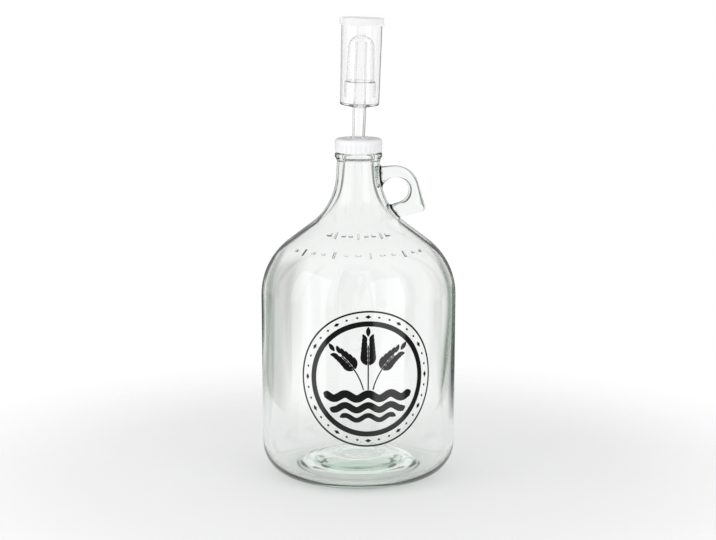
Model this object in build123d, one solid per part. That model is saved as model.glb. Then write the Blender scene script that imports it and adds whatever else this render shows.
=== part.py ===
from build123d import *
import math
import os

# Lengths are millimetres. Heights are above the table, and radii are from the jug's upright axis.

# Body and shoulder of the glass jug. A corner is where two straight runs of the outline would meet.
body_radius = 83.0
side_draft = 0.7
glass_wall = 3.2
heel_radius = 27.0
shoulder_corner_height = 184.5
shoulder_round = 58.8
shoulder_rise = 47.3

# Pushed-up base of the jug, a low crowned plateau inside the flat ring that it stands on. The
# floor above steps up over it, steeper, so that the glass is thickest in the step.
foot_width = 5.3
punt_rise = 6.5
punt_crown = 1.5
punt_step = 11.0
punt_edge_round = 5.0
punt_step_round = 10.0
floor_thickness = 5.0
floor_corner_inset = 4.5
floor_foot_gap = 2.5
floor_foot_round = 5.0
floor_rise = 11.8
floor_crown = 1.7
floor_step = 8.5
floor_step_round = 8.0

# Neck, with its screw finish, the bead under the cap and the lip
mouth_radius = 13.2
finish_wall = 4.2
neck_rise = 54.4
neck_step = 0.7
neck_taper = 2.3
neck_round = 52.5
neck_bore_round = 40.0
lip_round = 1.2
bead_overhang = 2.6
bead_thickness = 3.2
bead_drop = 9.3
bead_round = 1.3
bead_skirt = 3.0

# Finger ring on the neck, a flat loop of solid glass that stands in the x-z plane. Its straight
# top and its underside meet the round loop and the spur at corners given from the loop's centre.
ring_rise = 13.6
ring_offset = 11.2
finger_radius = 11.0
ring_band = 10.0
ring_thickness = 11.0
ring_edge_round = 3.6
ring_root_reach = -21.5
ring_root_top_rise = 18.5
ring_corner_rise = 22.1
ring_corner_reach = 14.4
ring_spur_reach = 25.6
ring_spur_drop = 17.1
ring_spur_round = 2.2
ring_root_foot_drop = 29.7

# The finger hole widens towards the neck and down its slope, round a second centre
finger_heel_drop = 7.3
finger_heel_radius = 7.9

# Screw cap
thread_room = 1.5
cap_plate = 1.6
cap_skirt_wall = 1.1
cap_skirt_gap = 0.9
cap_top_round = 2.4
groove_count = 30
groove_radius = 0.8
groove_depth = 0.5
smooth_band = 5.0
cap_corner_round = 0.6

# Sealing disc under the cap
liner_thickness = 1.2
liner_edge_gap = 0.3

# Soft ring in the cap's hole
grommet_wall = 1.4
grommet_lip = 1.45
grommet_flange = 0.9
grommet_fit = 0.1
grommet_face_gap = 0.05
grommet_round = 0.35

# Airlock cup with its stem and standpipe. The lean is how it stands in the soft ring.
airlock_lean = 1.7
stem_length = 40.2
stem_insertion = 14.0
stem_tip_radius = 5.05
stem_draft = 0.6
stem_wall = 1.2
stem_tip_chamfer = 0.5
cup_height = 71.5
cup_foot_radius = 16.4
cup_draft = 0.8
cup_wall = 1.2
cup_dish = 2.2
cup_corner_round = 1.4
pipe_drop = 19.0
pipe_step = 0.35
pipe_draft = 0.4
moulding_round = 0.8

# Inner bell of the airlock, its dome nearly a half ball, with a small flat crown
bell_clearance = 2.1
bell_skirt_height = 13.8
bell_step = 1.35
bell_draft = 0.9
bell_wall = 1.0
bell_crown_flat = 0.2
bell_head_room = 4.8
bell_floor_gap = 6.3
notch_count = 4
notch_width = 2.6
notch_height = 3.6
bell_rib_count = 4
bell_rib_thickness = 1.0

# Snap lid of the airlock
lid_wall = 1.4
lid_depth = 5.2
lid_plate = 1.2
lid_fit = 0.2
lid_round = 0.8
vent_count = 4
vent_radius = 0.8
vent_circle_radius = 8.0

# Cutting tools run this far past what they cut
overrun = 1.0

cubic_mm_per_litre = 1e6


def turned(corners):
    """Solid turned about the z axis. Each corner is its radius, its height and its rounding."""
    points = [(radius, height) for radius, height, rounding in corners]
    roundings = [rounding for radius, height, rounding in corners]
    outline = FilletPolyline(*points, radius=roundings, close=True)
    return revolve(Plane.XZ * make_face(outline), Axis.Z)


def around(shape, count):
    """Copies of a shape, spaced evenly round the z axis."""
    return [Rot(0, 0, turn * 360 / count) * shape for turn in range(count)]


def blended(start, end, share):
    """Value a share of the way from start to end."""
    return start + (end - start) * share


# Places of the jug that several pieces share
side_foot_radius = body_radius - side_draft
finish_radius = mouth_radius + finish_wall
bead_radius = finish_radius + bead_overhang
neck_top_radius = finish_radius + neck_step
neck_foot_radius = neck_top_radius + neck_taper
neck_corner_height = shoulder_corner_height + shoulder_rise
lip_height = neck_corner_height + neck_rise
bead_top = lip_height - bead_drop
bead_foot = bead_top - bead_thickness
cone_angle = math.atan2(body_radius - neck_foot_radius, shoulder_rise)

# Pushed-up base, outside and inside
punt_radius = side_foot_radius - heel_radius - foot_width
floor_foot_radius = punt_radius + floor_foot_gap
floor_top = floor_thickness + floor_rise

# Finger ring
ring_reach = neck_foot_radius + ring_offset
ring_centre_height = neck_corner_height + ring_rise

# Cap on the finish
cap_bore_radius = finish_radius + thread_room
cap_radius = cap_bore_radius + cap_skirt_wall
cap_bottom = bead_top + cap_skirt_gap
liner_top = lip_height + liner_thickness
cap_top = liner_top + cap_plate

# Airlock in the cap
stem_tip = cap_top - stem_insertion
stem_root_radius = stem_tip_radius + stem_draft
cup_root = stem_tip + stem_length
cup_foot = cup_root + cup_dish
cup_rim = cup_foot + cup_height
cup_rim_radius = cup_foot_radius + cup_draft
pipe_top = cup_rim - pipe_drop
pipe_foot_radius = stem_root_radius - pipe_step
pipe_top_radius = pipe_foot_radius - pipe_draft
bell_skirt_radius = cup_foot_radius - cup_wall - bell_clearance
bell_foot_radius = bell_skirt_radius - bell_step
bell_top_radius = bell_foot_radius - bell_draft
lid_bore_radius = cup_rim_radius + lid_fit
lid_radius = lid_bore_radius + lid_wall
lid_top = cup_rim + lid_plate


def stem_radius(height):
    """Outer radius of the tapered stem at a height."""
    return blended(stem_tip_radius, stem_root_radius, (height - stem_tip) / stem_length)


# Soft ring between the cap and the stem
grommet_neck_radius = stem_radius(cap_top) + grommet_fit + grommet_wall
cap_hole_radius = grommet_neck_radius + grommet_fit
grommet_flange_radius = cap_hole_radius + grommet_lip
grommet_foot = liner_top - grommet_face_gap - grommet_flange
grommet_head = cap_top + grommet_face_gap + grommet_flange
lean_pivot = (liner_top + cap_top) / 2


def leaned(solid):
    """Airlock piece as it stands, tipped towards +x about the middle of the cap's plate."""
    return Pos(0, 0, lean_pivot) * Rot(0, airlock_lean, 0) * Pos(0, 0, -lean_pivot) * solid


def jug_outside():
    """Solid outer form of the jug, with its pushed-up base, bead and finish."""
    return turned([
        (0, punt_rise + punt_crown, 0),
        (punt_radius - punt_step, punt_rise, punt_step_round),
        (punt_radius, 0, punt_edge_round),
        (side_foot_radius, 0, heel_radius),
        (body_radius, shoulder_corner_height, shoulder_round),
        (neck_foot_radius, neck_corner_height, neck_round),
        (neck_top_radius, bead_foot - bead_skirt, bead_round),
        (bead_radius, bead_foot, bead_round),
        (bead_radius, bead_top, bead_round),
        (finish_radius, bead_top, bead_round / 2),
        (finish_radius, lip_height, lip_round),
        (0, lip_height, 0),
    ])


def jug_hollow():
    """Inside of the jug, one wall within its outside, with a thicker floor and a straight mouth."""
    corner_shift = glass_wall * math.tan(cone_angle / 2)
    return turned([
        (0, floor_top + floor_crown, 0),
        (floor_foot_radius - floor_step, floor_top, floor_step_round),
        (floor_foot_radius, floor_thickness, floor_foot_round),
        (side_foot_radius - glass_wall, floor_thickness, heel_radius - floor_corner_inset),
        (body_radius - glass_wall, shoulder_corner_height - corner_shift, shoulder_round - glass_wall),
        (neck_foot_radius - glass_wall, neck_corner_height - corner_shift, neck_round + glass_wall),
        (mouth_radius, bead_foot, neck_bore_round),
        (mouth_radius, lip_height + overrun, 0),
        (0, lip_height + overrun, 0),
    ])


def finger_hole():
    """Finger hole, the hull of the round loop and of its smaller heel by the neck."""
    loop = Pos(ring_reach, ring_centre_height) * Circle(finger_radius)
    heel_place = Pos(neck_foot_radius, ring_centre_height - finger_heel_drop)
    heel = heel_place * Circle(finger_heel_radius)
    outline = make_hull((loop + heel).edges())
    return extrude(Plane.XZ * outline, ring_thickness, both=True)


def finger_ring():
    """Flat loop with rounded edges, a straight top, and a spur that falls back to the shoulder."""
    corners = [
        (ring_root_reach, ring_root_top_rise, 0),
        (ring_corner_reach, ring_corner_rise, finger_radius + ring_band),
        (ring_spur_reach, -ring_spur_drop, ring_spur_round),
        (ring_root_reach, -ring_root_foot_drop, 0),
    ]
    points = [(ring_reach + reach, ring_centre_height + rise) for reach, rise, rounding in corners]
    roundings = [rounding for reach, rise, rounding in corners]
    outline = FilletPolyline(*points, radius=roundings, close=True)
    slab = extrude(Plane.XZ * make_face(outline), ring_thickness / 2, both=True)
    loop = slab - finger_hole()
    on_a_side = [edge for edge in loop.edges() if abs(edge.center().Y) > ring_edge_round]
    root = ring_reach + ring_root_reach
    rims = [edge for edge in on_a_side if edge.center().X > root + ring_edge_round / 4]
    return fillet(rims, ring_edge_round)


def glass_jug():
    return jug_outside() + finger_ring() - jug_hollow()


def cap_liner():
    inner_radius = grommet_flange_radius + liner_edge_gap
    outer_radius = cap_bore_radius - cap_corner_round - liner_edge_gap
    return turned([
        (inner_radius, lip_height, 0),
        (outer_radius, lip_height, 0),
        (outer_radius, liner_top, 0),
        (inner_radius, liner_top, 0),
    ])


def grommet():
    outside = turned([
        (0, grommet_foot, 0),
        (grommet_flange_radius, grommet_foot, grommet_round),
        (grommet_flange_radius, liner_top - grommet_face_gap, 0),
        (grommet_neck_radius, liner_top - grommet_face_gap, 0),
        (grommet_neck_radius, cap_top + grommet_face_gap, 0),
        (grommet_flange_radius, cap_top + grommet_face_gap, 0),
        (grommet_flange_radius, grommet_head, grommet_round),
        (0, grommet_head, 0),
    ])
    low = grommet_foot - overrun
    high = grommet_head + overrun
    bore = turned([
        (0, low, 0),
        (stem_radius(low) + grommet_fit, low, 0),
        (stem_radius(high) + grommet_fit, high, 0),
        (0, high, 0),
    ])
    return outside - leaned(bore)


def screw_cap():
    shell = turned([
        (cap_hole_radius, liner_top, 0),
        (cap_bore_radius, liner_top, cap_corner_round),
        (cap_bore_radius, cap_bottom, 0),
        (cap_radius, cap_bottom, cap_corner_round / 2),
        (cap_radius, cap_top, cap_top_round),
        (cap_hole_radius, cap_top, 0),
    ])
    groove_height = cap_top - smooth_band - cap_bottom
    place = Pos(cap_radius + groove_radius - groove_depth, 0, cap_bottom - overrun)
    groove = place * extrude(Circle(groove_radius), groove_height + overrun)
    return shell - around(groove, groove_count)


def airlock_body():
    pipe_bore_radius = pipe_top_radius - stem_wall
    cup_floor = cup_foot + cup_wall
    return leaned(turned([
        (stem_tip_radius - stem_wall, stem_tip, 0),
        (stem_tip_radius - stem_tip_chamfer, stem_tip, 0),
        (stem_tip_radius, stem_tip + stem_tip_chamfer, 0),
        (stem_root_radius, cup_root, moulding_round),
        (cup_foot_radius, cup_foot, cup_corner_round),
        (cup_rim_radius, cup_rim, 0),
        (cup_rim_radius - cup_wall, cup_rim, 0),
        (cup_foot_radius - cup_wall, cup_floor, moulding_round),
        (pipe_foot_radius, cup_floor - cup_dish + moulding_round, moulding_round),
        (pipe_top_radius, pipe_top, 0),
        (pipe_bore_radius, pipe_top, 0),
        (stem_root_radius - stem_wall, cup_root, 0),
    ]))


def airlock_bell():
    crown_round = bell_top_radius - bell_crown_flat
    skirt_foot = cup_foot + bell_floor_gap
    skirt_top = skirt_foot + bell_skirt_height
    crown = pipe_top + bell_head_room + bell_wall
    outside = turned([
        (0, skirt_foot, 0),
        (bell_skirt_radius, skirt_foot, 0),
        (bell_skirt_radius, skirt_top, bell_wall),
        (bell_foot_radius, skirt_top, bell_wall / 2),
        (bell_top_radius, crown, crown_round),
        (0, crown, 0),
    ])
    hollow = turned([
        (0, skirt_foot, 0),
        (bell_skirt_radius - bell_wall, skirt_foot, 0),
        (bell_skirt_radius - bell_wall, skirt_top - bell_wall, bell_wall / 2),
        (bell_foot_radius - bell_wall, skirt_top - bell_wall, bell_wall / 2),
        (bell_top_radius - bell_wall, crown - bell_wall, crown_round - bell_wall),
        (0, crown - bell_wall, 0),
    ])
    notch_size = (2 * (bell_wall + overrun), notch_width, 2 * notch_height)
    notch = Pos(bell_skirt_radius, 0, skirt_foot) * Box(*notch_size)
    shell = outside - hollow - around(notch, notch_count)
    rib_low = Plane.XY.offset(pipe_top)
    rib = Pos(bell_top_radius / 2, 0) * Rectangle(bell_top_radius, bell_rib_thickness)
    rib_prism = extrude(rib_low * rib, bell_head_room + bell_wall / 2)
    return leaned(shell + [rib & outside for rib in around(rib_prism, bell_rib_count)])


def airlock_lid():
    shell = turned([
        (0, cup_rim, 0),
        (lid_bore_radius, cup_rim, 0),
        (lid_bore_radius, cup_rim - lid_depth, 0),
        (lid_radius, cup_rim - lid_depth, 0),
        (lid_radius, lid_top, lid_round),
        (0, lid_top, 0),
    ])
    vent_middle = (cup_rim + lid_top) / 2
    vent = Pos(vent_circle_radius, 0, vent_middle) * Cylinder(vent_radius, lid_plate + overrun)
    return leaned(shell - around(vent, vent_count))


os.makedirs("parts", exist_ok=True)
pieces = {
    "glass_jug": glass_jug(),
    "cap_liner": cap_liner(),
    "grommet": grommet(),
    "screw_cap": screw_cap(),
    "airlock_body": airlock_body(),
    "airlock_bell": airlock_bell(),
    "airlock_lid": airlock_lid(),
}
for name, solid in pieces.items():
    solid.label = name
    export_step(solid, f"parts/{name}.step")
brimful = jug_hollow().volume - math.pi * mouth_radius**2 * overrun
print("brimful litres", round(brimful / cubic_mm_per_litre, 3))
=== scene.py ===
import math

import bpy
import bmesh
import numpy as np
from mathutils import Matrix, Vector


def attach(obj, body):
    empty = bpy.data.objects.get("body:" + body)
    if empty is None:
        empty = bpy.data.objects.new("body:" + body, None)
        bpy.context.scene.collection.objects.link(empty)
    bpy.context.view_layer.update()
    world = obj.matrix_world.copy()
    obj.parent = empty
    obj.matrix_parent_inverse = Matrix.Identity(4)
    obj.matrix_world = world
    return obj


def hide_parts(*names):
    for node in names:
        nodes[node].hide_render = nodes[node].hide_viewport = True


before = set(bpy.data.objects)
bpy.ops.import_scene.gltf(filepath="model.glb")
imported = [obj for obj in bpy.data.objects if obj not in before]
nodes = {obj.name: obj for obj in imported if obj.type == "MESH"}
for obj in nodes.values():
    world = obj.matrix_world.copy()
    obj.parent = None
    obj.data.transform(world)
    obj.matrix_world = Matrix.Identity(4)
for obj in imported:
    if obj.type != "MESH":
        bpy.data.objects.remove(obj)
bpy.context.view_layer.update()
scene = bpy.context.scene
MM = 0.001

# Camera, as the photograph was taken: its picture in pixels, its sensor in mm, its place in metres
# and its pitch in degrees
PHOTO_WIDTH = 716
FOCAL_PIXELS = 1900
SENSOR_WIDTH = 36
CAMERA_PLACE = Vector((-0.0004, -1.597, 0.4578))
CAMERA_PITCH = 10

# Outside of the jug in mm, from the middle of its base up. A ROUND is the rounding of a corner.
CROWN_RADIUS = 14.0
PUNT_RISE = 6.5
PUNT_CROWN = 1.5
PUNT_CROWN_ROUND = 350
PUNT_RADIUS = 50.0
PUNT_STEP = 11.0
PUNT_STEP_ROUND = 18
FOOT_ROUND = 5
SIDE_FOOT_RADIUS = 82.3
HEEL_ROUND = 27
BODY_RADIUS = 83.0
SHOULDER_CORNER = 184.5
SHOULDER_ROUND = 58.8
NECK_FOOT_RADIUS = 20.4
NECK_CORNER = 231.8
NECK_ROUND = 52.5
NECK_TOP_RADIUS = 18.1
NECK_TOP_DROP = 3
NECK_TOP_ROUND = 5
BEAD_RADIUS = 20.0
BEAD_FOOT = 273.7
BEAD_TOP = 276.9
BEAD_ROUND = 1.3
FINISH_RADIUS = 17.4
FINISH_ROOT_ROUND = 0.65
LIP_HEIGHT = 286.2
LIP_ROUND = 1.2

# Inside of the jug in mm, from its mouth down
MOUTH_RADIUS = 13.2
MOUTH_ROUND = 0.8
BORE_ROUND = 40
GLASS_WALL = 3.2
HEEL_INSIDE_ROUND = 22.5
FLOOR_THICKNESS = 5.0
FLOOR_FOOT_RADIUS = 52.5
FLOOR_FOOT_ROUND = 6
FLOOR_STEP_RADIUS = 45.5
FLOOR_STEP_HEIGHT = 13.2
FLOOR_STEP_ROUND = 16
FLOOR_RIM_RADIUS = 31
FLOOR_RIM_HEIGHT = 17.4
FLOOR_RIM_ROUND = 60
FLOOR_CROWN_HEIGHT = 18.5
FLOOR_CROWN_ROUND = 200

# How far the blown inside strays from round in mm, and the heights where that starts and ends.
# Each wave of it has its share, its turns round the jug, its start, and its height per radian.
WAVER = 0.22
WAVER_LOW = 20
WAVER_LOW_FADE = 25
WAVER_HIGH = 225
WAVER_HIGH_FADE = 40
WAVER_WAVES = [(1.0, 2, 0.9, 61), (0.6, 3, 0.0, -37), (0.25, 7, 2.2, 23), (0.3, 5, 1.1, -29)]

# Finger ring in mm, in the x-z plane: its round loop, the heel of its hole by the neck, and its
# outline as corners of reach, height and rounding. Where the band is thin, its edges are rounded
# by its width divided by THIN_BAND_SHARE.
RING_REACH = 31.6
RING_HEIGHT = 245.4
FINGER_RADIUS = 11.0
HEEL_REACH = 20.4
HEEL_HEIGHT = 238.1
HEEL_RADIUS = 7.9
RING_THICKNESS = 11.0
RING_EDGE_ROUND = 3.6
THIN_BAND_SHARE = 2.2
RING_CORNERS = [(10.1, 263.9, 0), (46.0, 267.5, 21.0), (57.2, 228.3, 2.2), (10.1, 215.7, 0)]
RING_SEGMENTS = 200
RING_CORNER_STEPS = 6

# Search for the ring's edges from the middle of its loop: how far in mm, and how often halved
RING_FAR = 60.0
RING_HALVINGS = 20

# Root of the ring in mm: the part of the neck that can carry it, how far it blends and how deep
# it is sunk, where it is looked for, its mesh, and the steps that move the mesh onto it
NECK_LOW = 190
NECK_HIGH = 272
NECK_LEAST_RADIUS = 15
ROOT_BLEND = 2.6
ROOT_SPREAD = 1.3
ROOT_DEPTH = 1.6
ROOT_START = 8
ROOT_ASIDE = 14
ROOT_LOW = 205
ROOT_SKIN = 0.4
ROOT_EDGES = (1.6, 0.9)
ROOT_TURNS = 4
SLOPE_STEP = 0.02
LEAST_SLOPE = 0.2

# Screw thread of the finish in mm. Each end fades out over a turn divided by THREAD_FADE. Its
# section is reaches out of the wall, in shares of its depth, and rises, in shares of half its
# width.
THREAD_PITCH = 4.24
THREAD_TURNS = 1.35
THREAD_FOOT = 278.9
THREAD_DEPTH = 1.1
THREAD_LEAST_DEPTH = 0.02
THREAD_WIDTH = 1.9
THREAD_ROOT = -0.6
THREAD_FADE = 8
THREAD_STEPS = 96
THREAD_SECTION = [(0.0, -1.0), (0.7, -0.62), (1.0, -0.3), (1.0, 0.3), (0.7, 0.62), (0.0, 1.0)]

# Raised marks on the front of the shoulder in mm. A row has its count, its height and half its
# spread in radians, and one mark of each cycle stands up.
MARK_ROWS = [(13, 199.0, 0.95), (9, 212.5, 0.55)]
MARK_CYCLE = 3
MARK_STANDING = 6.4
MARK_LYING = 3.6
MARK_WIDTH = 1.4
MARK_RISE = 0.32
MARK_STEPS = 12
MARK_TIP = 0.04

# Seams of the mould in mm, at the ring and opposite it. Each is the crown of a sunk oval, and
# fades over SEAM_FADE points of the outline at its ends.
SEAM_WIDTH = 4.0
SEAM_DEPTH = 0.3
SEAM_RISE = 0.07
SEAM_END = -0.02
SEAM_FADE = 12
SEAM_TIP = 0.2
SEAM_SEGMENTS = 28
SEAM_LOW = 9.0
SEAM_HIGH = 266.0
SEAM_RING = 205.0

# Mesh fineness of the jug, and what counts in mm as on the axis, on the side and level
JUG_SEGMENTS = 256
ARC_STEP = math.radians(3)
LONGEST_STEP = 2.5
ON_AXIS = 1e-6
ON_SIDE = 1e-3
LEVEL = 1e-9

# Print on the front in mm: its centre, how far off the glass its ink starts and ends, and how
# far apart the points of its ink stand
PRINT_ACROSS = 8.0
PRINT_HEIGHT = 100.0
INK_START = 0.02
INK_END = 0.08
INK_STEP = 1.6
INK_LEAST_WIDTH = 0.06
LINE_STEP = 1.5
WAVE_STEP = 1.2

# Badge in mm: rings of radius and width, and lozenges of length and width, one of a cycle large
BADGE_RINGS = [(56.3, 1.5), (46.2, 4.4)]
LOZENGE_COUNT = 36
LOZENGE_CYCLE = 3
LOZENGE_RADIUS = 51.9
LOZENGE_LARGE = (5.4, 3.0)
LOZENGE_SMALL = (2.6, 2.0)

# Ears of barley in mm: each has its foot, its lean in radians, its height and its pairs of grains.
# Grains start along the stem and shrink towards its tip, and their size is length and width.
EARS = [((0, -9), 0.0, 47, 6), ((-4, -9), -0.66, 42, 5), ((4, -9), 0.66, 42, 5)]
STEM_WIDTH = 1.1
STEM_POINTS = 25
STEM_DRAWN = 20
STEM_LEAN_LOW = 0.35
GRAIN_LOW = 0.44
GRAIN_SPAN = 0.5
GRAIN_AHEAD = 0.02
GRAIN_ASIDE = 1.1
GRAIN_TURN = 0.5
GRAIN_SHRINK = 0.35
GRAIN_SIZE = (10.2, 5.0)
GRAIN_STEPS = 8
GRAIN_BLUNT = 0.02
GRAIN_FULLNESS = 0.8
TIP_SIZE = (8.0, 3.8)
TIP_PLACE = 0.95

# Waves under the ears in mm: each has its height, its width and half its length
WAVES = [(-14.5, 6.6, 37.5), (-24.0, 5.6, 32), (-32.5, 4.2, 23.5)]
WAVE_SWING = 2.0
WAVE_LENGTH = 19
WAVE_END = 3
WAVE_END_WIDTH = 0.25

# Materials: the tints of the lamps' light through clear and milky plastic, what milky plastic is
# like, and the grain of the opaque plastic
CLEAR_TINT = (0.93, 0.94, 0.935, 1)
MILKY_TINT = (0.85, 0.85, 0.85, 1)
MILKY_IOR = 1.4
MILKY_SHINE = 0.3
MILKY_LIT_BEHIND = 0.5
PLASTIC_DETAIL = 3.0
PLASTIC_STRENGTH = 0.6

# Studio, in metres: the strengths of its world, its floor, and where its lamps point
WHITE_STRENGTH = 1.0
ROOM_STRENGTH = 0.78
MIRROR_STRENGTH = 0.12
FLOOR_RADIUS = 2.5
FLOOR_SIDES = 128
FLOOR_DROP = 0.0002
FLOOR_FADE_START = 0.2
FLOOR_FADE_END = 0.45
FLOOR_PAINT = (0.92, 0.92, 0.92, 1)
LAMP_TARGET = Vector((0, 0, 0.2))

# Screen seen through the glass, glowing with painted shade for the glass's dark edges and grey
# bands: its outline as corners in mm, and in metres how far aside the jug reaches and where the
# screen fades in. Its colours come round again SCREEN_VIEWS times, and cover SCREEN_SPAN degrees
# of bend to each side.
SCREEN_LINE = [(120, 0.4, 0), (700, 0.4, 90), (700, 1200, 0)]
SCREEN_ASIDE = 0.075
SCREEN_START = 0.12
SCREEN_FULL = 0.34
SCREEN_VIEWS = 8
SCREEN_SPAN = 20

# Colours of the screen, each after the bend in degrees where it stands, left to right. The grey,
# green and dark ones are painted shade: the glass's dark edges and grey bands, and what bounced
# inside it. The higher ones come after the heights in metres between which they take over.
WHITE = (1.0, 1.0, 1.0)
BAND_SHADE_GREY = (0.66, 0.67, 0.65)
NEAR_EDGE_SHADE = (0.84, 0.86, 0.84)
EDGE_SHADE_GREEN = (0.08, 0.14, 0.09)
EDGE_SHADE_GREY = (0.2, 0.21, 0.2)
EDGE_SHADE_DARK = (0.1, 0.105, 0.1)
ECHO_SHADE_GREEN = (0.16, 0.23, 0.17)
# Painted shade of the body: dark green edges at both sides and a grey band left of the middle
JUG_COLOURS = [
    (-20, EDGE_SHADE_GREEN), (-13, EDGE_SHADE_GREEN), (-10.5, BAND_SHADE_GREY), (-4, BAND_SHADE_GREY), (-0.1, WHITE),
    (4.5, WHITE), (6.8, NEAR_EDGE_SHADE), (9.3, EDGE_SHADE_GREEN), (20, EDGE_SHADE_GREEN),
]
# Painted shade, in green, for sight lines that bounced inside the glass
ECHO_COLOURS = [(-20, ECHO_SHADE_GREEN), (-1.5, ECHO_SHADE_GREEN), (0.5, WHITE), (20, WHITE)]
NECK_COLOURS = [
    (-20, EDGE_SHADE_GREY), (-12, EDGE_SHADE_GREY), (-9, WHITE), (7, WHITE), (10, EDGE_SHADE_GREY), (20, EDGE_SHADE_GREY),
]
AIRLOCK_COLOURS = [
    (-20, EDGE_SHADE_DARK), (-13.5, EDGE_SHADE_DARK), (-12.3, WHITE),
    (12.3, WHITE), (13.5, EDGE_SHADE_DARK), (20, EDGE_SHADE_DARK),
]
HIGHER_COLOURS = [(0.09, 0.13, NECK_COLOURS), (0.21, 0.25, AIRLOCK_COLOURS)]


class Nodes:
    """Short way to add and join shader nodes in one tree."""

    def __init__(self, tree):
        self.tree = tree
        self.tree.nodes.clear()

    def add(self, kind, inputs=(), **settings):
        """New node, with sockets or plain values for its inputs."""
        node = self.tree.nodes.new(kind)
        for name, value in settings.items():
            setattr(node, name, value)
        for key, value in dict(inputs).items():
            if isinstance(value, bpy.types.NodeSocket):
                self.tree.links.new(value, node.inputs[key])
            else:
                node.inputs[key].default_value = value
        return node

    def math(self, operation, *values):
        """Output of a Math node, with its first inputs from values."""
        return self.add("ShaderNodeMath", dict(enumerate(values)), operation=operation).outputs[0]

    def ramp(self, value, low, high):
        """Value moved smoothly from the range between low and high to 0 to 1."""
        inputs = {"Value": value, "From Min": low, "From Max": high}
        return self.add("ShaderNodeMapRange", inputs, interpolation_type="SMOOTHSTEP").outputs[0]

    def gradient(self, value, stops):
        """Colour of a ramp, from stops that are each a place from 0 to 1 and a colour."""
        node = self.add("ShaderNodeValToRGB", {0: value})
        elements = node.color_ramp.elements
        while len(elements) < len(stops):
            elements.new(0.5)
        for element, (place, colour) in zip(elements, stops):
            element.position = place
            element.color = (*colour, 1)
        return node.outputs["Color"]

    def mix(self, factor, first, second):
        """Mix of two shaders."""
        return self.add("ShaderNodeMixShader", {0: factor, 1: first, 2: second}).outputs[0]

    def let_light_by(self, surface, colour):
        """The same surface, clear and of this colour to the rays that look for lamps."""
        clear = self.add("ShaderNodeBsdfTransparent", {"Color": colour})
        path = self.add("ShaderNodeLightPath")
        return self.mix(path.outputs["Is Shadow Ray"], surface, clear.outputs[0])


def new_material(name):
    """New material, with its empty tree of nodes."""
    material = bpy.data.materials.new(name)
    material.use_nodes = True
    return material, Nodes(material.node_tree)


def clear_material(name, ior, roughness=0.0, shine=0.5, absorb=None, density=0.0):
    """Glass or clear plastic that lamps shine through."""
    material, tree = new_material(name)
    body = tree.add("ShaderNodeBsdfPrincipled", {
        "Base Color": (1, 1, 1, 1), "Roughness": roughness, "IOR": ior, "Transmission Weight": 1.0,
        "Specular IOR Level": shine,
    })
    ends = {"Surface": tree.let_light_by(body.outputs[0], CLEAR_TINT)}
    if absorb:
        inside = tree.add("ShaderNodeVolumeAbsorption", {"Color": absorb, "Density": density})
        ends["Volume"] = inside.outputs[0]
    tree.add("ShaderNodeOutputMaterial", ends)
    return material


def milky_material(name, shade, clear_share, roughness):
    """Cloudy soft plastic, part of it see-through and the rest lit from both sides."""
    material, tree = new_material(name)
    through = tree.add("ShaderNodeBsdfPrincipled", {
        "Base Color": (1, 1, 1, 1), "Roughness": roughness, "IOR": MILKY_IOR,
        "Transmission Weight": 1.0, "Specular IOR Level": MILKY_SHINE,
    })
    front = tree.add("ShaderNodeBsdfDiffuse", {"Color": shade})
    behind = tree.add("ShaderNodeBsdfTranslucent", {"Color": shade})
    cloud = tree.mix(MILKY_LIT_BEHIND, front.outputs[0], behind.outputs[0])
    body = tree.mix(clear_share, cloud, through.outputs[0])
    surface = tree.let_light_by(body, MILKY_TINT)
    tree.add("ShaderNodeOutputMaterial", {"Surface": surface})
    return material


def plastic_material(name, colour, roughness, grain=0, depth=0.0):
    """Opaque plastic, with a grain of so many cells to the metre and so deep where it has one."""
    material, tree = new_material(name)
    inputs = {"Base Color": colour, "Roughness": roughness}
    if grain:
        place = tree.add("ShaderNodeTexCoord").outputs["Object"]
        cells = {"Vector": place, "Scale": grain, "Detail": PLASTIC_DETAIL}
        height = tree.add("ShaderNodeTexNoise", cells).outputs[0]
        bump = {"Height": height, "Strength": PLASTIC_STRENGTH, "Distance": depth}
        inputs["Normal"] = tree.add("ShaderNodeBump", bump).outputs[0]
    body = tree.add("ShaderNodeBsdfPrincipled", inputs)
    tree.add("ShaderNodeOutputMaterial", {"Surface": body.outputs[0]})
    return material


def dress(node, material):
    """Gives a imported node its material."""
    for slot in nodes[node].material_slots:
        slot.material = material


# Jug

def rounded(corners, closed=False):
    """Points along an outline of (radius, height, rounding) corners, with its roundings as arcs."""
    points = []
    last = len(corners) - 1
    for index, (radius, height, rounding) in enumerate(corners):
        here = np.array((radius, height))
        if rounding == 0 or (not closed and index in (0, last)):
            points.append(here)
            continue
        before = np.array(corners[index - 1][:2]) - here
        after = np.array(corners[(index + 1) % len(corners)][:2]) - here
        before = before / np.linalg.norm(before)
        after = after / np.linalg.norm(after)
        half = math.acos(np.clip(before @ after, -1, 1)) / 2
        inward = (before + after) / np.linalg.norm(before + after)
        centre = here + inward * rounding / math.sin(half)
        start = here + before * rounding / math.tan(half) - centre
        end = here + after * rounding / math.tan(half) - centre
        turn = math.atan2(start[0] * end[1] - start[1] * end[0], start @ end)
        steps = max(2, math.ceil(abs(turn) / ARC_STEP))
        for step in range(steps + 1):
            angle = turn * step / steps
            cosine, sine = math.cos(angle), math.sin(angle)
            spoke = (start[0] * cosine - start[1] * sine, start[0] * sine + start[1] * cosine)
            points.append(centre + spoke)
    return points


def stepped(points):
    """The same line with no step longer than LONGEST_STEP."""
    line = [points[0]]
    for start, end in zip(points, points[1:]):
        steps = max(1, math.ceil(np.linalg.norm(end - start) / LONGEST_STEP))
        line.extend(start + (end - start) * (step + 1) / steps for step in range(steps))
    return line


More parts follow.
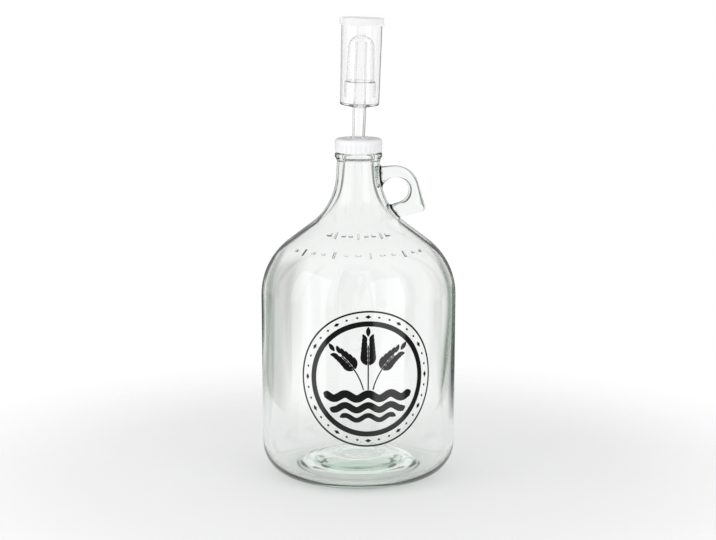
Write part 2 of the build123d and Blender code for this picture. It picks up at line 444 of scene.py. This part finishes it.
def waver(angle, height):
    """How far the blown inside of the body strays from round, in mm."""
    rising = min(1, max(0, (height - WAVER_LOW) / WAVER_LOW_FADE))
    falling = min(1, max(0, (WAVER_HIGH - height) / WAVER_HIGH_FADE))
    swing = sum(
        share * math.sin(turns * angle + start + height / radian)
        for share, turns, start, radian in WAVER_WAVES
    )
    return WAVER * rising * falling * swing


def lathe(work, line, stray=None):
    """Turns a line in mm from the axis to the axis round z into a bmesh."""
    rings = []
    for radius, height in line:
        if radius < ON_AXIS:
            rings.append([work.verts.new((0, 0, height * MM))])
            continue
        ring = []
        for turn in range(JUG_SEGMENTS):
            angle = 2 * math.pi * turn / JUG_SEGMENTS
            reach = radius + (stray(angle, radius, height) if stray else 0)
            place = Vector((reach * math.cos(angle), reach * math.sin(angle), height))
            ring.append(work.verts.new(place * MM))
        rings.append(ring)
    for low, high in zip(rings, rings[1:]):
        for index in range(JUG_SEGMENTS):
            after = (index + 1) % JUG_SEGMENTS
            corners = [low[index % len(low)], low[after % len(low)]]
            corners += [high[after % len(high)], high[index % len(high)]]
            work.faces.new(dict.fromkeys(corners))


# How steep the shoulder is, and how much lower the corners of its inside lie
CONE = math.atan2(BODY_RADIUS - NECK_FOOT_RADIUS, NECK_CORNER - SHOULDER_CORNER)
SHIFT = GLASS_WALL * math.tan(CONE / 2)

OUTSIDE = [
    (0, PUNT_RISE + PUNT_CROWN, 0),
    (CROWN_RADIUS, PUNT_RISE + PUNT_CROWN, PUNT_CROWN_ROUND),
    (PUNT_RADIUS - PUNT_STEP, PUNT_RISE, PUNT_STEP_ROUND),
    (PUNT_RADIUS, 0, FOOT_ROUND),
    (SIDE_FOOT_RADIUS, 0, HEEL_ROUND),
    (BODY_RADIUS, SHOULDER_CORNER, SHOULDER_ROUND),
    (NECK_FOOT_RADIUS, NECK_CORNER, NECK_ROUND),
    (NECK_TOP_RADIUS, BEAD_FOOT - NECK_TOP_DROP, NECK_TOP_ROUND),
    (BEAD_RADIUS, BEAD_FOOT, BEAD_ROUND),
    (BEAD_RADIUS, BEAD_TOP, BEAD_ROUND),
    (FINISH_RADIUS, BEAD_TOP, FINISH_ROOT_ROUND),
    (FINISH_RADIUS, LIP_HEIGHT, LIP_ROUND),
    (MOUTH_RADIUS, LIP_HEIGHT, MOUTH_ROUND),
]
INSIDE = [
    (MOUTH_RADIUS, BEAD_FOOT, BORE_ROUND),
    (NECK_FOOT_RADIUS - GLASS_WALL, NECK_CORNER - SHIFT, NECK_ROUND + GLASS_WALL),
    (BODY_RADIUS - GLASS_WALL, SHOULDER_CORNER - SHIFT, SHOULDER_ROUND - GLASS_WALL),
    (SIDE_FOOT_RADIUS - GLASS_WALL, FLOOR_THICKNESS, HEEL_INSIDE_ROUND),
    (FLOOR_FOOT_RADIUS, FLOOR_THICKNESS, FLOOR_FOOT_ROUND),
    (FLOOR_STEP_RADIUS, FLOOR_STEP_HEIGHT, FLOOR_STEP_ROUND),
    (FLOOR_RIM_RADIUS, FLOOR_RIM_HEIGHT, FLOOR_RIM_ROUND),
    (CROWN_RADIUS, FLOOR_CROWN_HEIGHT, FLOOR_CROWN_ROUND),
    (0, FLOOR_CROWN_HEIGHT, 0),
]
OUTER_LINE = np.array(stepped(rounded(OUTSIDE)))


def outer_radius(height):
    """Radius in mm of the outside of the jug at a height, above its foot."""
    side = OUTER_LINE[np.argmax(OUTER_LINE[:, 0] > SIDE_FOOT_RADIUS - ON_SIDE):]
    return float(np.interp(height, side[:, 1], side[:, 0]))


def outer_part(low, high):
    """Part of the outside's line between two heights in mm."""
    radii, heights = OUTER_LINE.T
    return OUTER_LINE[(heights > low) & (heights < high) & (radii > NECK_LEAST_RADIUS)]


def line_ways(line):
    """Unit direction at each point of a line."""
    way = np.gradient(line, axis=0)
    return way / np.linalg.norm(way, axis=1)[:, None]


def distance(points, line):
    """Distance from each 2-D point to a closed line, less than 0 inside it."""
    nearest = np.full(len(points), np.inf)
    inside = np.zeros(len(points), dtype=bool)
    for start, end in zip(line, np.roll(line, -1, axis=0)):
        along = end - start
        across, up = (points - start).T
        share = np.clip((across * along[0] + up * along[1]) / (along @ along), 0, 1)
        gap = (across - share * along[0]) ** 2 + (up - share * along[1]) ** 2
        nearest = np.minimum(nearest, gap)
        if abs(along[1]) > LEVEL:
            crossed = (up < 0) != (points[:, 1] < end[1])
            inside ^= crossed & (across < up * along[0] / along[1])
    return np.where(inside, -1, 1) * np.sqrt(nearest)


RING_OUTLINE = np.array(rounded(RING_CORNERS, closed=True))
LOOP_CENTRE = np.array((RING_REACH, RING_HEIGHT))
HEEL_CENTRE = np.array((HEEL_REACH, HEEL_HEIGHT))
HOLE_SPAN = np.linalg.norm(HEEL_CENTRE - LOOP_CENTRE)
HOLE_WAY = (HEEL_CENTRE - LOOP_CENTRE) / HOLE_SPAN
HOLE_TAPER = (FINGER_RADIUS - HEEL_RADIUS) / HOLE_SPAN
HOLE_FLANK = math.sqrt(1 - HOLE_TAPER ** 2)


def hole_distance(points):
    """Distance to the finger hole, the hull of a round loop and of its heel by the neck."""
    away = points - LOOP_CENTRE
    along = away @ HOLE_WAY
    aside = np.abs(away @ np.array((-HOLE_WAY[1], HOLE_WAY[0])))
    place = along * HOLE_FLANK - aside * HOLE_TAPER
    flank = aside * HOLE_FLANK + along * HOLE_TAPER - FINGER_RADIUS
    loop = np.hypot(along, aside) - FINGER_RADIUS
    heel = np.hypot(along - HOLE_SPAN, aside) - HEEL_RADIUS
    return np.where(place < 0, loop, np.where(place > HOLE_SPAN * HOLE_FLANK, heel, flank))


def ring_distance(points):
    """Distance from each point in mm to the finger ring with its rounded rims."""
    flat = points[:, [0, 2]]
    inside = np.maximum(distance(flat, RING_OUTLINE), -hole_distance(flat))
    across = inside + RING_EDGE_ROUND
    aside = np.abs(points[:, 1]) - RING_THICKNESS / 2 + RING_EDGE_ROUND
    corner = np.hypot(np.maximum(across, 0), np.maximum(aside, 0))
    return np.minimum(np.maximum(across, aside), 0) + corner - RING_EDGE_ROUND


NECK_SIDE = outer_part(NECK_LOW, NECK_HIGH)
NECK_OUTLINE = np.array([(0, NECK_LOW), *NECK_SIDE, (0, NECK_HIGH)])


def neck_distance(points):
    """Distance from each point in mm to the outside of the neck and shoulder."""
    flat = np.column_stack((np.hypot(points[:, 0], points[:, 1]), points[:, 2]))
    return distance(flat, NECK_OUTLINE)


def joined_distance(points):
    """Distance from each point to the neck and ring together, with a soft root between them."""
    neck, ring = neck_distance(points), ring_distance(points)
    near = np.maximum(ROOT_BLEND - np.abs(neck - ring), 0)
    return np.minimum(neck, ring) - near ** 2 / (4 * ROOT_BLEND)


def slope(points, away):
    """Direction in which joined_distance grows from its value at each point."""
    nudges = np.eye(3) * SLOPE_STEP
    rises = [joined_distance(points + nudge) - away for nudge in nudges]
    return np.column_stack(rises) / SLOPE_STEP


def grid_solid(work, grid, capped=True):
    """Closed tube in a bmesh from a grid of points in mm, its rows round the tube."""
    rows = [[work.verts.new(Vector(point) * MM) for point in row] for row in grid]
    pairs = list(zip(rows, rows[1:]))
    if not capped:
        pairs.append((rows[-1], rows[0]))
    for row, after in pairs:
        for index in range(len(row)):
            other = (index + 1) % len(row)
            work.faces.new((row[index], row[other], after[other], after[index]))
    if capped:
        work.faces.new(rows[0][::-1])
        work.faces.new(rows[-1])


def edge_reach(edge, ways):
    """How far from the loop's centre a line in each direction leaves what edge measures."""
    low, high = np.zeros(len(ways)), np.full(len(ways), RING_FAR)
    for halving in range(RING_HALVINGS):
        middle = (low + high) / 2
        inside = edge(LOOP_CENTRE + ways * middle[:, None]) < 0
        low, high = np.where(inside, middle, low), np.where(inside, high, middle)
    return low


def ring_solid(work):
    """Finger ring, swept round its hole with a section of rounded edges."""
    angles = np.arange(RING_SEGMENTS) * 2 * math.pi / RING_SEGMENTS
    ways = np.column_stack((np.cos(angles), np.sin(angles)))
    inners = edge_reach(hole_distance, ways)
    outers = edge_reach(lambda points: distance(points, RING_OUTLINE), ways)
    grid = []
    for way, inner, outer in zip(ways, inners, outers):
        edge_round = min(RING_EDGE_ROUND, (outer - inner) / THIN_BAND_SHARE)
        reach = (outer - inner) / 2 - edge_round
        middle = (outer + inner) / 2
        side = RING_THICKNESS / 2 - edge_round
        row = []
        for quarter, (out, over) in enumerate(((1, 1), (-1, 1), (-1, -1), (1, -1))):
            for step in range(RING_CORNER_STEPS + 1):
                bend = math.pi / 2 * (quarter + step / RING_CORNER_STEPS)
                place = LOOP_CENTRE + way * (middle + out * reach + edge_round * math.cos(bend))
                row.append((place[0], over * side + edge_round * math.sin(bend), place[1]))
        grid.append(row)
    grid_solid(work, grid, capped=False)


def core_solid(work):
    """Middle of the neck, which cuts the ring's root off inside the glass."""
    way = line_ways(NECK_SIDE)
    inner = NECK_SIDE + np.column_stack((-way[:, 1], way[:, 0])) * ROOT_DEPTH
    lathe(work, [(0, inner[0][1]), *inner, (0, inner[-1][1])])


def thread_solid(work):
    """Helical ridge on the finish with tapered ends, its root sunk in the wall that carries it."""
    section = [(THREAD_ROOT, -1.0), *THREAD_SECTION, (THREAD_ROOT, 1.0)]
    grid = []
    steps = math.ceil(THREAD_TURNS * THREAD_STEPS)
    for step in range(steps + 1):
        share = step / steps
        angle = 2 * math.pi * THREAD_TURNS * share
        grown = min(1, THREAD_FADE * share * THREAD_TURNS, THREAD_FADE * (1 - share) * THREAD_TURNS)
        crest = THREAD_DEPTH * math.sin(grown * math.pi / 2) + THREAD_LEAST_DEPTH
        middle = THREAD_FOOT + THREAD_PITCH * THREAD_TURNS * share
        row = []
        for reach, rise in section:
            out = FINISH_RADIUS + (reach * crest if reach > 0 else reach)
            height = middle + rise * THREAD_WIDTH / 2
            row.append((out * math.cos(angle), out * math.sin(angle), height))
        grid.append(row)
    grid_solid(work, grid)


def mesh_object(name, work):
    """Object of a bmesh, which goes, with its faces turned outward."""
    bmesh.ops.recalc_face_normals(work, faces=work.faces)
    mesh = bpy.data.meshes.new(name)
    work.to_mesh(mesh)
    work.free()
    piece = bpy.data.objects.new(name, mesh)
    scene.collection.objects.link(piece)
    return piece


def combine(piece, other, operation):
    """Applies a Boolean with another object, which goes."""
    change = piece.modifiers.new("combine", "BOOLEAN")
    change.operation = operation
    change.solver = "EXACT"
    change.object = other
    bpy.context.view_layer.update()
    solid = piece.evaluated_get(bpy.context.evaluated_depsgraph_get())
    mesh = bpy.data.meshes.new_from_object(solid)
    piece.modifiers.clear()
    piece.data = mesh
    bpy.data.objects.remove(other)


def side_ways(azimuth):
    """Directions out of the jug and along its side at an azimuth."""
    side = Vector((math.cos(azimuth), math.sin(azimuth), 0))
    return side, Vector((-side.y, side.x, 0))


def shoulder_mark(work, azimuth, height, length, turned):
    """Raised bar on the shoulder, with rounded ends and top."""
    radius = outer_radius(height)
    fall = outer_radius(height + 0.5) - outer_radius(height - 0.5)
    side, across = side_ways(azimuth)
    up = (side * fall + Vector((0, 0, 1))).normalized()
    out = across.cross(up).normalized()
    centre = side * radius + Vector((0, 0, height))
    way = across * math.cos(turned) + up * math.sin(turned)
    wide = way.cross(out)
    grid = []
    for step in range(MARK_STEPS + 1):
        bend = math.pi * step / MARK_STEPS
        grow = max(math.sin(bend), MARK_TIP) ** 0.5
        middle = centre - way * math.cos(bend) * length / 2
        row = []
        for turn in range(MARK_STEPS):
            angle = 2 * math.pi * turn / MARK_STEPS
            spot = middle + wide * math.cos(angle) * MARK_WIDTH / 2 * grow
            row.append(tuple(spot + out * math.sin(angle) * MARK_RISE * grow))
        grid.append(row)
    grid_solid(work, grid)


def marks(work):
    """Two rows of plain raised marks round the front of the shoulder."""
    for count, height, spread in MARK_ROWS:
        for index in range(count):
            azimuth = -math.pi / 2 + spread * (2 * index / (count - 1) - 1)
            if index % MARK_CYCLE == 1:
                shoulder_mark(work, azimuth, height, MARK_STANDING, math.pi / 2)
            else:
                shoulder_mark(work, azimuth, height, MARK_LYING, 0.0)


def seam(work, azimuth, low, high):
    """Low upright ridge where the halves of the mould met, between two heights."""
    side, across = side_ways(azimuth)
    line = outer_part(low, high)
    grid = []
    for index, ((radius, height), (out, up)) in enumerate(zip(line, line_ways(line))):
        from_end = min(index, len(line) - 1 - index)
        fade = min(1, (from_end + SEAM_TIP) / SEAM_FADE)
        outward = side * up - Vector((0, 0, out))
        centre = side * radius + Vector((0, 0, height))
        lift = SEAM_END + (SEAM_RISE - SEAM_END) * fade - SEAM_DEPTH
        row = []
        for turn in range(SEAM_SEGMENTS):
            angle = 2 * math.pi * turn / SEAM_SEGMENTS
            spot = centre + across * math.cos(angle) * SEAM_WIDTH / 2
            row.append(tuple(spot + outward * (math.sin(angle) * SEAM_DEPTH + lift)))
        grid.append(row)
    grid_solid(work, grid)


def near_root(points):
    """Whether each point in mm lies on the ring or where its root blends into the neck."""
    across, aside, height = points.T
    near = (across > ROOT_START) & (np.abs(aside) < ROOT_ASIDE)
    near &= (height > ROOT_LOW) & (height < NECK_HIGH)
    spots = points[near]
    blended = ring_distance(spots) < ROOT_BLEND * ROOT_SPREAD
    near[near] = (neck_distance(spots) > -ROOT_SKIN) & blended
    return near


def refine_root(mesh):
    """Cuts the mesh round the ring's root finer."""
    work = bmesh.new()
    work.from_mesh(mesh)
    for longest in ROOT_EDGES:
        points = np.array([vertex.co[:] for vertex in work.verts]) / MM
        near = near_root(points) & (neck_distance(points) < ROOT_BLEND * ROOT_SPREAD)
        work.verts.ensure_lookup_table()
        rooted = dict.fromkeys(work.verts[index] for index in np.flatnonzero(near))
        faces = dict.fromkeys(face for vertex in rooted for face in vertex.link_faces)
        bmesh.ops.triangulate(work, faces=list(faces))
        edges = [
            edge for edge in work.edges
            if edge.verts[0] in rooted and edge.verts[1] in rooted
            and edge.calc_length() > longest * MM
        ]
        bmesh.ops.subdivide_edges(work, edges=edges, cuts=1)
        bmesh.ops.triangulate(work, faces=[face for face in work.faces if len(face.verts) > 4])
    work.to_mesh(mesh)
    work.free()


def soften_root(mesh):
    """Moves the mesh round the ring's root onto a soft blend, and gives it exact normals."""
    refine_root(mesh)
    points = np.array([vertex.co[:] for vertex in mesh.vertices]) / MM
    near = near_root(points)
    spots = points[near]
    for turn in range(ROOT_TURNS):
        away = joined_distance(spots)
        rise = slope(spots, away)
        spots = spots - rise * (away / np.maximum((rise ** 2).sum(axis=1), LEAST_SLOPE))[:, None]
    points[near] = spots
    mesh.vertices.foreach_set("co", (points * MM).ravel())
    mesh.update()
    mesh.shade_smooth()
    normals = np.array([vertex.normal[:] for vertex in mesh.vertices])
    rise = slope(spots, joined_distance(spots))
    normals[near] = rise / np.linalg.norm(rise, axis=1)[:, None]
    mesh.normals_split_custom_set_from_vertices(normals.tolist())


def stray(angle, radius, height):
    """How far a point of the jug's outline moves out, which only its inside does."""
    inside = radius < outer_radius(height) - GLASS_WALL / 2
    return waver(angle, height) if inside else 0


def jug():
    """Whole glass: turned body, ring, thread, marks and seams, united."""
    work = bmesh.new()
    lathe(work, stepped(rounded(OUTSIDE + INSIDE)), stray)
    piece = mesh_object("jug_glass", work)
    work = bmesh.new()
    ring_solid(work)
    ring = mesh_object("ring", work)
    work = bmesh.new()
    core_solid(work)
    combine(ring, mesh_object("core", work), "DIFFERENCE")
    work = bmesh.new()
    work.from_mesh(ring.data)
    bpy.data.objects.remove(ring)
    thread_solid(work)
    marks(work)
    seam(work, math.pi, SEAM_LOW, SEAM_HIGH)
    seam(work, 0, SEAM_LOW, SEAM_RING)
    combine(piece, mesh_object("additions", work), "UNION")
    soften_root(piece.data)
    piece.data.materials.clear()
    piece.data.materials.append(GLASS)
    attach(piece, "jug")
    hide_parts("glass_jug")


# Print

def on_glass(across, up, lift):
    """Place on the side of the jug of a point of the print in mm."""
    height = PRINT_HEIGHT + up
    radius = outer_radius(height) + lift
    azimuth = (PRINT_ACROSS + across) / BODY_RADIUS
    return (radius * math.sin(azimuth), -radius * math.cos(azimuth), height)


def ribbon(work, points, widths, closed=False):
    """Thin flat solid of ink along a line of points in mm, with a width at each."""
    points = np.array(points, dtype=float)
    if closed:
        way = np.roll(points, -1, axis=0) - np.roll(points, 1, axis=0)
        way /= np.linalg.norm(way, axis=1)[:, None]
    else:
        way = line_ways(points)
    side = np.column_stack((-way[:, 1], way[:, 0]))
    widths = np.maximum(np.broadcast_to(widths, len(points)), INK_LEAST_WIDTH)
    cuts = max(1, math.ceil(widths.max() / INK_STEP))
    grid = []
    for point, aside, width in zip(points, side, widths):
        spots = [point + aside * width * (cut / cuts - 0.5) for cut in range(cuts + 1)]
        row = [on_glass(*spot, INK_END) for spot in spots]
        row += [on_glass(*spot, INK_START) for spot in spots[::-1]]
        grid.append(row)
    grid_solid(work, grid, capped=not closed)


def full_ring(work, radius, width):
    """Ring of ink round the middle of the badge."""
    count = math.ceil(2 * math.pi * radius / LINE_STEP)
    angles = [2 * math.pi * index / count for index in range(count)]
    points = [(radius * math.cos(angle), radius * math.sin(angle)) for angle in angles]
    ribbon(work, points, width, closed=True)


def lozenges(work):
    """Lozenges between the rings of the badge."""
    for index in range(LOZENGE_COUNT):
        angle = 2 * math.pi * index / LOZENGE_COUNT
        length, width = LOZENGE_SMALL if index % LOZENGE_CYCLE else LOZENGE_LARGE
        centre = np.array((math.cos(angle), math.sin(angle))) * LOZENGE_RADIUS
        half = np.array((-math.sin(angle), math.cos(angle))) * length / 2
        ribbon(work, [centre - half, centre, centre + half], [0, width, 0])


def lens(work, foot, way, length, width):
    """Grain shape from a foot point in a direction."""
    shares = [index / GRAIN_STEPS for index in range(GRAIN_STEPS + 1)]
    points = [(foot[0] + way[0] * length * s, foot[1] + way[1] * length * s) for s in shares]
    bends = [math.pi * (GRAIN_BLUNT + (1 - 2 * GRAIN_BLUNT) * share) for share in shares]
    ribbon(work, points, [width * math.sin(bend) ** GRAIN_FULLNESS for bend in bends])


def barley(work, foot, lean, height, pairs):
    """Ear of barley: a stem that bends a little, pairs of grains, and a grain at its tip."""
    def spot(share):
        bend = lean * (STEM_LEAN_LOW + (1 - STEM_LEAN_LOW) * share)
        along = height * share
        return (foot[0] + math.sin(bend) * along, foot[1] + math.cos(bend) * along)

    line = [spot(index / (STEM_POINTS - 1)) for index in range(STEM_POINTS)]
    ribbon(work, line[:STEM_DRAWN], STEM_WIDTH)
    for index in range(pairs):
        share = GRAIN_LOW + GRAIN_SPAN * index / pairs
        here, ahead = spot(share), spot(share + GRAIN_AHEAD)
        along = math.atan2(ahead[1] - here[1], ahead[0] - here[0])
        size = 1 - GRAIN_SHRINK * index / pairs
        for hand in (-1, 1):
            aside = GRAIN_ASIDE * hand
            start = (here[0] - math.sin(along) * aside, here[1] + math.cos(along) * aside)
            turned = along + GRAIN_TURN * hand
            way = (math.cos(turned), math.sin(turned))
            lens(work, start, way, GRAIN_SIZE[0] * size, GRAIN_SIZE[1] * size)
    lens(work, spot(TIP_PLACE), (math.sin(lean), math.cos(lean)), *TIP_SIZE)


def wave(work, middle, width, half):
    """Wavy band across the badge."""
    count = math.ceil(2 * half / WAVE_STEP)
    places = [-half + 2 * half * index / count for index in range(count + 1)]
    points = [(x, middle + WAVE_SWING * math.cos(2 * math.pi * x / WAVE_LENGTH)) for x in places]
    widths = [width * min(1, WAVE_END_WIDTH + (half - abs(x)) / WAVE_END) for x in places]
    ribbon(work, points, widths)


def badge():
    """Plain black print: a double ring with lozenges, three ears of barley and three waves."""
    work = bmesh.new()
    for radius, width in BADGE_RINGS:
        full_ring(work, radius, width)
    lozenges(work)
    for ear in EARS:
        barley(work, *ear)
    for band in WAVES:
        wave(work, *band)
    piece = mesh_object("print_ink", work)
    piece.data.materials.append(INK)
    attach(piece, "jug")


# Studio

def studio_world():
    """White behind the jug and through it, an even grey room for light, and a dark one mirrored."""
    world = bpy.data.worlds.new("studio")
    world.use_nodes = True
    scene.world = world
    tree = Nodes(world.node_tree)

    def background(strength):
        inputs = {"Color": (1, 1, 1, 1), "Strength": strength}
        return tree.add("ShaderNodeBackground", inputs).outputs[0]

    path = tree.add("ShaderNodeLightPath").outputs
    seen = tree.math("MAXIMUM", path["Is Camera Ray"], path["Is Transmission Ray"])
    unseen = tree.mix(path["Is Glossy Ray"], background(ROOM_STRENGTH), background(MIRROR_STRENGTH))
    surface = tree.mix(seen, unseen, background(WHITE_STRENGTH))
    tree.add("ShaderNodeOutputWorld", {"Surface": surface})


def screen_share(tree, x, y, reach):
    """How far the glass bends a line of sight past the jug's side, from 0 to 1, left to right."""
    sector = 2 * math.pi / SCREEN_VIEWS
    turns = tree.math("ADD", tree.math("DIVIDE", tree.math("ARCTAN2", x, y), sector), 0.5)
    centred = tree.math("SUBTRACT", tree.math("FLOORED_MODULO", turns, 1.0), 0.5)
    off = tree.math("MULTIPLY", centred, sector)
    aside = tree.math("MULTIPLY", reach, tree.math("SINE", off))
    depth = tree.math("MULTIPLY", reach, tree.math("COSINE", off))
    past = tree.math("SUBTRACT", tree.math("ABSOLUTE", aside), SCREEN_ASIDE)
    bend = tree.math("MAXIMUM", tree.math("ARCTAN2", past, depth), 0.0)
    signed = tree.math("MULTIPLY", bend, tree.math("SIGN", aside))
    return tree.math("ADD", tree.math("DIVIDE", signed, math.radians(2 * SCREEN_SPAN)), 0.5)


def screen():
    """Glowing bowl that only sight lines through glass meet: white, with painted shade in it.

    Its colours follow how far the glass bends a line of sight, and come round again every eighth of
    a turn, so that the glass has its painted dark edges and grey bands from all of these sides.
    What also bounced inside the glass sees the echo's painted shade."""
    work = bmesh.new()
    lathe(work, stepped(rounded(SCREEN_LINE)))
    piece = mesh_object("screen", work)
    material, tree = new_material("screen_painted_shade")
    place = tree.add("ShaderNodeNewGeometry").outputs["Position"]
    x, y, z = tree.add("ShaderNodeSeparateXYZ", {0: place}).outputs
    squares = tree.math("ADD", tree.math("MULTIPLY", x, x), tree.math("MULTIPLY", y, y))
    reach = tree.math("SQRT", squares)
    share = screen_share(tree, x, y, reach)

    def glow(colours):
        stops = [(0.5 + bend / (2 * SCREEN_SPAN), colour) for bend, colour in colours]
        return tree.add("ShaderNodeEmission", {"Color": tree.gradient(share, stops)}).outputs[0]

    # Painted shade: the glass's dark edges for direct sight lines, and green shade for those that
    # bounced inside it
    bounces = tree.add("ShaderNodeLightPath").outputs["Glossy Depth"]
    bounced = tree.math("GREATER_THAN", bounces, 0.5)
    paint = tree.mix(bounced, glow(JUG_COLOURS), glow(ECHO_COLOURS))
    for start, full, colours in HIGHER_COLOURS:
        paint = tree.mix(tree.ramp(z, start, full), paint, glow(colours))
    gone = tree.add("ShaderNodeBsdfTransparent").outputs[0]
    surface = tree.mix(tree.ramp(reach, SCREEN_START, SCREEN_FULL), gone, paint)
    tree.add("ShaderNodeOutputMaterial", {"Surface": surface})
    piece.data.materials.append(material)
    piece.visible_camera = False
    piece.visible_diffuse = False
    piece.visible_glossy = False
    piece.visible_shadow = False


def floor():
    """Pale floor that keeps the jug's shadow and fades out into the white."""
    bpy.ops.mesh.primitive_circle_add(
        vertices=FLOOR_SIDES, radius=FLOOR_RADIUS, fill_type="NGON", location=(0, 0, -FLOOR_DROP)
    )
    piece = bpy.context.object
    piece.name = "floor"
    material, tree = new_material("floor_paint")
    place = tree.add("ShaderNodeNewGeometry").outputs["Position"]
    reach = tree.add("ShaderNodeVectorMath", {0: place}, operation="LENGTH").outputs["Value"]
    away = tree.ramp(reach, FLOOR_FADE_START, FLOOR_FADE_END)
    paint = tree.add("ShaderNodeBsdfDiffuse", {"Color": FLOOR_PAINT})
    nothing = tree.add("ShaderNodeBsdfTransparent")
    surface = tree.mix(away, paint.outputs[0], nothing.outputs[0])
    tree.add("ShaderNodeOutputMaterial", {"Surface": surface})
    piece.data.materials.append(material)


def softbox(name, azimuth, elevation, distance, width, height, level):
    """Area lamp that faces the jug, from an azimuth right of the camera, at a radiance."""
    side, rise = math.radians(azimuth), math.radians(elevation)
    flat = math.cos(rise)
    way = Vector((math.sin(side) * flat, -math.cos(side) * flat, math.sin(rise)))
    lamp = bpy.data.lights.new(name, "AREA")
    lamp.shape = "RECTANGLE"
    lamp.size = width
    lamp.size_y = height
    lamp.energy = level * math.pi * width * height
    item = bpy.data.objects.new(name, lamp)
    scene.collection.objects.link(item)
    item.location = LAMP_TARGET + way * distance
    item.rotation_euler = (-way).to_track_quat("-Z", "Y").to_euler()


def camera():
    """Camera that took the photograph."""
    data = bpy.data.cameras.new("camera")
    data.sensor_width = SENSOR_WIDTH
    data.lens = FOCAL_PIXELS * SENSOR_WIDTH / PHOTO_WIDTH
    item = bpy.data.objects.new("camera", data)
    scene.collection.objects.link(item)
    item.location = CAMERA_PLACE
    item.rotation_euler = (math.radians(90 - CAMERA_PITCH), 0, 0)
    scene.camera = item


GLASS = clear_material("jug_glass", ior=1.5, absorb=(0.5, 0.68, 0.55, 1), density=11.0)
INK = plastic_material("ink_black", (0.006, 0.006, 0.006, 1), roughness=0.1)
dress("airlock_body", clear_material("airlock_clear", ior=1.49, shine=0.35))
dress("airlock_bell", clear_material("bell_clear", ior=1.3, roughness=0.16, shine=0.3))
dress("airlock_lid", milky_material(
    "lid_milky", (0.95, 0.95, 0.95, 1), clear_share=0.5, roughness=0.3
))
dress("grommet", milky_material(
    "grommet_soft", (0.85, 0.85, 0.84, 1), clear_share=0.6, roughness=0.4
))
dress("screw_cap", plastic_material(
    "cap_white", (0.8, 0.8, 0.815, 1), roughness=0.42, grain=1400, depth=0.00006
))
dress("cap_liner", plastic_material(
    "liner_white", (0.9, 0.9, 0.89, 1), roughness=0.8, grain=2200, depth=0.0002
))
jug()
badge()

studio_world()
screen()
floor()
softbox("left_softbox", azimuth=-61, elevation=6, distance=1.7, width=1.5, height=2.2, level=1.5)
softbox("right_softbox", azimuth=36, elevation=8, distance=1.7, width=1.2, height=2.0, level=1.5)
camera()

scene.view_settings.view_transform = "Standard"
scene.cycles.max_bounces = 32
scene.cycles.transmission_bounces = 28
scene.cycles.glossy_bounces = 8
scene.cycles.transparent_max_bounces = 24
